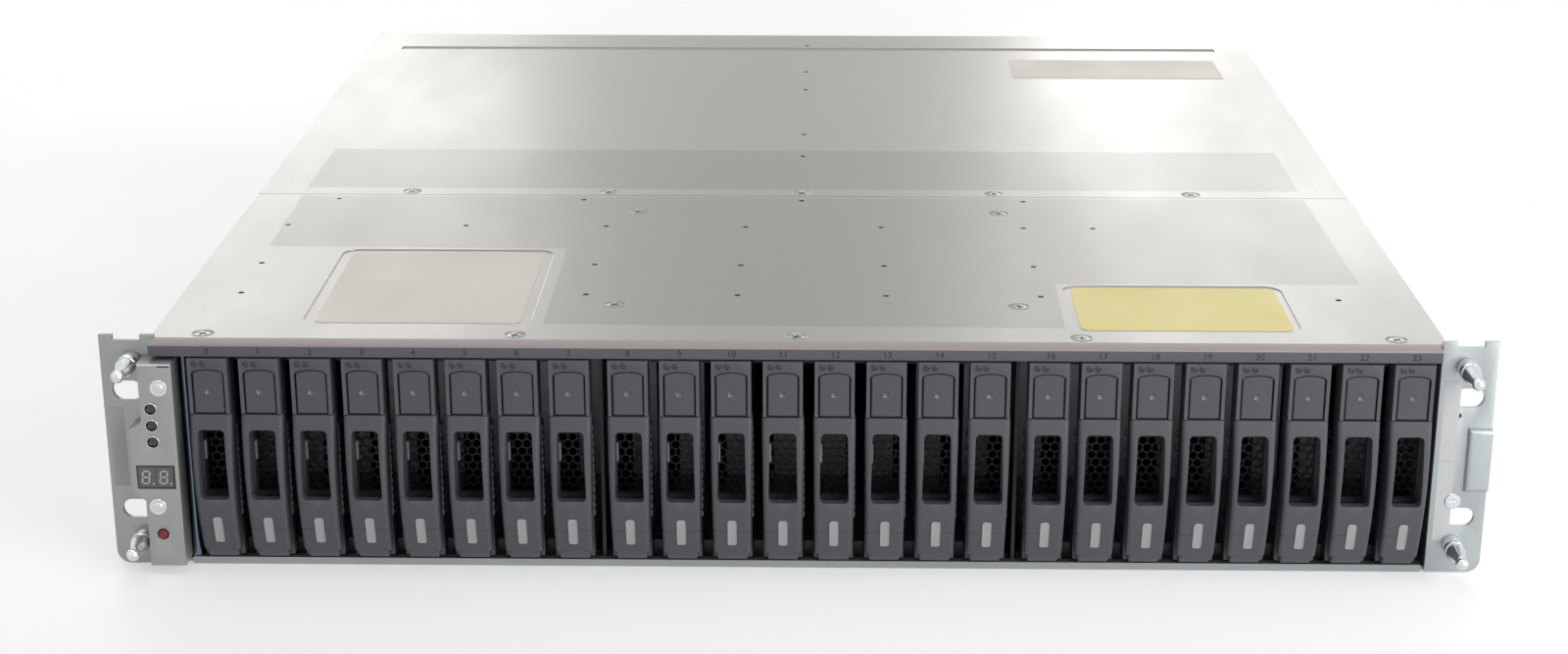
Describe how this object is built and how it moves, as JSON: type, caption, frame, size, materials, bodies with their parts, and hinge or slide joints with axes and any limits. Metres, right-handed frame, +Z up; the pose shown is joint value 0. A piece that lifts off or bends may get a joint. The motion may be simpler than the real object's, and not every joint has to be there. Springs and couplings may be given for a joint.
{
  "type": "disk shelf enclosure",
  "caption": "Two-unit rack disk shelf: upright hot-swap drive carriers with cam levers in front, operator panel, rack ears, and slide-out modules and supplies behind.",
  "frame": {"origin": "middle of the bounding box's bottom", "axes": "+X to the right of someone facing the front, +Y towards the back, +Z up"},
  "size_m": [0.4826, 0.52, 0.086],
  "materials": {
    "zinc_steel": "zinc-plated sheet steel",
    "ear_steel": "bluish zinc-plated sheet steel",
    "stud_zinc": "bright zinc",
    "grey_plastic": "fine-grained dark purple-grey plastic",
    "guide_plastic": "black plastic",
    "board_green": "circuit board",
    "connector_black": "black plastic",
    "lamp_clear": "clear light pipe",
    "red_plastic": "red plastic",
    "handle_plastic": "dark plastic",
    "latch_plastic": "burnt-orange plastic"
  },
  "bodies": {
    "shelf": {"chassis_tray": "zinc_steel", "front_top_cover": "zinc_steel", "rear_top_cover": "zinc_steel", "left_rack_ear": "ear_steel", "right_rack_ear": "ear_steel", "bezel_ball_studs": "stud_zinc", "slot_number_rail": "grey_plastic", "display_cover": "ear_steel", "display_board": "board_green", "status_lamps": "lamp_clear", "bay_walls": "zinc_steel", "drive_guides": "guide_plastic", "midplane_board": "board_green", "midplane_connectors": "connector_black", "rear_frame": "zinc_steel"},
    "carrier_00": {"drive_carrier_00": "grey_plastic"},
    "lever_00": {"cam_lever_00": "grey_plastic"},
    "button_00": {"release_button_00": "grey_plastic"},
    "carrier_08": {"drive_carrier_08": "grey_plastic"},
    "lever_08": {"cam_lever_08": "grey_plastic"},
    "button_08": {"release_button_08": "grey_plastic"},
    "carrier_16": {"drive_carrier_16": "grey_plastic"},
    "lever_16": {"cam_lever_16": "grey_plastic"},
    "button_16": {"release_button_16": "grey_plastic"},
    "carrier_23": {"drive_carrier_23": "grey_plastic"},
    "lever_23": {"cam_lever_23": "grey_plastic"},
    "button_23": {"release_button_23": "grey_plastic"},
    "io_lower": {"io_module_lower": "zinc_steel"},
    "io_handle_lower": {"io_handle_lower": "handle_plastic"},
    "io_upper": {"io_module_upper": "zinc_steel"},
    "io_handle_upper": {"io_handle_upper": "handle_plastic"},
    "supply_left": {"power_supply_left": "zinc_steel"},
    "supply_left_fan": {"supply_fan_left": "guide_plastic"},
    "supply_left_latch": {"supply_latch_left": "latch_plastic"},
    "supply_right": {"power_supply_right": "zinc_steel"},
    "supply_right_fan": {"supply_fan_right": "guide_plastic"},
    "supply_right_latch": {"supply_latch_right": "latch_plastic"},
    "id_button": {"shelf_id_button": "red_plastic"},
    "carrier_01": {"drive_carrier_01": "grey_plastic"},
    "carrier_02": {"drive_carrier_02": "grey_plastic"},
    "carrier_03": {"drive_carrier_03": "grey_plastic"},
    "carrier_04": {"drive_carrier_04": "grey_plastic"},
    "carrier_05": {"drive_carrier_05": "grey_plastic"},
    "carrier_06": {"drive_carrier_06": "grey_plastic"},
    "carrier_07": {"drive_carrier_07": "grey_plastic"},
    "carrier_09": {"drive_carrier_09": "grey_plastic"},
    "carrier_10": {"drive_carrier_10": "grey_plastic"},
    "carrier_11": {"drive_carrier_11": "grey_plastic"},
    "carrier_12": {"drive_carrier_12": "grey_plastic"},
    "carrier_13": {"drive_carrier_13": "grey_plastic"},
    "carrier_14": {"drive_carrier_14": "grey_plastic"},
    "carrier_15": {"drive_carrier_15": "grey_plastic"},
    "carrier_17": {"drive_carrier_17": "grey_plastic"},
    "carrier_18": {"drive_carrier_18": "grey_plastic"},
    "carrier_19": {"drive_carrier_19": "grey_plastic"},
    "carrier_20": {"drive_carrier_20": "grey_plastic"},
    "carrier_21": {"drive_carrier_21": "grey_plastic"},
    "carrier_22": {"drive_carrier_22": "grey_plastic"}
  },
  "joints": [
    {"name": "lever_00_swing", "type": "hinge", "parent": "carrier_00", "child": "lever_00", "pos_m": [-0.2026, -0.239, 0.0082], "axis": [1, 0, 0], "range_deg": [0, 60]},
    {"name": "carrier_00_slide", "type": "slide", "parent": "shelf", "child": "carrier_00", "axis": [0, -1, 0], "range_m": [0, 0.165]},
    {"name": "button_00_press", "type": "slide", "parent": "carrier_00", "child": "button_00", "axis": [0, 1, 0], "range_m": [0, 0.0015], "stiffness_N_per_m": 400},
    {"name": "lever_08_swing", "type": "hinge", "parent": "carrier_08", "child": "lever_08", "pos_m": [-0.0578, -0.239, 0.0082], "axis": [1, 0, 0], "range_deg": [0, 60]},
    {"name": "carrier_08_slide", "type": "slide", "parent": "shelf", "child": "carrier_08", "axis": [0, -1, 0], "range_m": [0, 0.165]},
    {"name": "button_08_press", "type": "slide", "parent": "carrier_08", "child": "button_08", "axis": [0, 1, 0], "range_m": [0, 0.0015], "stiffness_N_per_m": 400},
    {"name": "lever_16_swing", "type": "hinge", "parent": "carrier_16", "child": "lever_16", "pos_m": [0.087, -0.239, 0.0082], "axis": [1, 0, 0], "range_deg": [0, 60]},
    {"name": "carrier_16_slide", "type": "slide", "parent": "shelf", "child": "carrier_16", "axis": [0, -1, 0], "range_m": [0, 0.165]},
    {"name": "button_16_press", "type": "slide", "parent": "carrier_16", "child": "button_16", "axis": [0, 1, 0], "range_m": [0, 0.0015], "stiffness_N_per_m": 400},
    {"name": "lever_23_swing", "type": "hinge", "parent": "carrier_23", "child": "lever_23", "pos_m": [0.2116, -0.239, 0.0082], "axis": [1, 0, 0], "range_deg": [0, 60]},
    {"name": "carrier_23_slide", "type": "slide", "parent": "shelf", "child": "carrier_23", "axis": [0, -1, 0], "range_m": [0, 0.165]},
    {"name": "button_23_press", "type": "slide", "parent": "carrier_23", "child": "button_23", "axis": [0, 1, 0], "range_m": [0, 0.0015], "stiffness_N_per_m": 400},
    {"name": "io_lower_slide", "type": "slide", "parent": "shelf", "child": "io_lower", "axis": [0, 1, 0], "range_m": [0, 0.26]},
    {"name": "io_lower_handle_swing", "type": "hinge", "parent": "io_lower", "child": "io_handle_lower", "pos_m": [0.111, 0.2483, 0.031], "axis": [0, 0, -1], "range_deg": [0, 80]},
    {"name": "io_upper_slide", "type": "slide", "parent": "shelf", "child": "io_upper", "axis": [0, 1, 0], "range_m": [0, 0.26]},
    {"name": "io_upper_handle_swing", "type": "hinge", "parent": "io_upper", "child": "io_handle_upper", "pos_m": [0.111, 0.2483, 0.0728], "axis": [0, 0, -1], "range_deg": [0, 80]},
    {"name": "supply_left_slide", "type": "slide", "parent": "shelf", "child": "supply_left", "axis": [0, 1, 0], "range_m": [0, 0.26]},
    {"name": "supply_left_fan_spin", "type": "hinge", "parent": "supply_left", "child": "supply_left_fan", "pos_m": [-0.14855, 0.235, 0.04175], "axis": [0, 1, 0], "continuous": true},
    {"name": "supply_left_latch_swing", "type": "hinge", "parent": "supply_left", "child": "supply_left_latch", "pos_m": [-0.21605, 0.247, 0.0635], "axis": [0, 0, 1], "range_deg": [0, 25]},
    {"name": "supply_right_slide", "type": "slide", "parent": "shelf", "child": "supply_right", "axis": [0, 1, 0], "range_m": [0, 0.26]},
    {"name": "supply_right_fan_spin", "type": "hinge", "parent": "supply_right", "child": "supply_right_fan", "pos_m": [0.19255, 0.235, 0.04175], "axis": [0, 1, 0], "continuous": true},
    {"name": "supply_right_latch_swing", "type": "hinge", "parent": "supply_right", "child": "supply_right_latch", "pos_m": [0.12505, 0.247, 0.0635], "axis": [0, 0, 1], "range_deg": [0, 25]},
    {"name": "id_button_press", "type": "slide", "parent": "shelf", "child": "id_button", "axis": [0, 1, 0], "range_m": [0, 0.0008], "stiffness_N_per_m": 300},
    {"name": "carrier_01_slide", "type": "slide", "parent": "shelf", "child": "carrier_01", "axis": [0, -1, 0], "range_m": [0, 0.165]},
    {"name": "carrier_02_slide", "type": "slide", "parent": "shelf", "child": "carrier_02", "axis": [0, -1, 0], "range_m": [0, 0.165]},
    {"name": "carrier_03_slide", "type": "slide", "parent": "shelf", "child": "carrier_03", "axis": [0, -1, 0], "range_m": [0, 0.165]},
    {"name": "carrier_04_slide", "type": "slide", "parent": "shelf", "child": "carrier_04", "axis": [0, -1, 0], "range_m": [0, 0.165]},
    {"name": "carrier_05_slide", "type": "slide", "parent": "shelf", "child": "carrier_05", "axis": [0, -1, 0], "range_m": [0, 0.165]},
    {"name": "carrier_06_slide", "type": "slide", "parent": "shelf", "child": "carrier_06", "axis": [0, -1, 0], "range_m": [0, 0.165]},
    {"name": "carrier_07_slide", "type": "slide", "parent": "shelf", "child": "carrier_07", "axis": [0, -1, 0], "range_m": [0, 0.165]},
    {"name": "carrier_09_slide", "type": "slide", "parent": "shelf", "child": "carrier_09", "axis": [0, -1, 0], "range_m": [0, 0.165]},
    {"name": "carrier_10_slide", "type": "slide", "parent": "shelf", "child": "carrier_10", "axis": [0, -1, 0], "range_m": [0, 0.165]},
    {"name": "carrier_11_slide", "type": "slide", "parent": "shelf", "child": "carrier_11", "axis": [0, -1, 0], "range_m": [0, 0.165]},
    {"name": "carrier_12_slide", "type": "slide", "parent": "shelf", "child": "carrier_12", "axis": [0, -1, 0], "range_m": [0, 0.165]},
    {"name": "carrier_13_slide", "type": "slide", "parent": "shelf", "child": "carrier_13", "axis": [0, -1, 0], "range_m": [0, 0.165]},
    {"name": "carrier_14_slide", "type": "slide", "parent": "shelf", "child": "carrier_14", "axis": [0, -1, 0], "range_m": [0, 0.165]},
    {"name": "carrier_15_slide", "type": "slide", "parent": "shelf", "child": "carrier_15", "axis": [0, -1, 0], "range_m": [0, 0.165]},
    {"name": "carrier_17_slide", "type": "slide", "parent": "shelf", "child": "carrier_17", "axis": [0, -1, 0], "range_m": [0, 0.165]},
    {"name": "carrier_18_slide", "type": "slide", "parent": "shelf", "child": "carrier_18", "axis": [0, -1, 0], "range_m": [0, 0.165]},
    {"name": "carrier_19_slide", "type": "slide", "parent": "shelf", "child": "carrier_19", "axis": [0, -1, 0], "range_m": [0, 0.165]},
    {"name": "carrier_20_slide", "type": "slide", "parent": "shelf", "child": "carrier_20", "axis": [0, -1, 0], "range_m": [0, 0.165]},
    {"name": "carrier_21_slide", "type": "slide", "parent": "shelf", "child": "carrier_21", "axis": [0, -1, 0], "range_m": [0, 0.165]},
    {"name": "carrier_22_slide", "type": "slide", "parent": "shelf", "child": "carrier_22", "axis": [0, -1, 0], "range_m": [0, 0.165]}
  ]
}
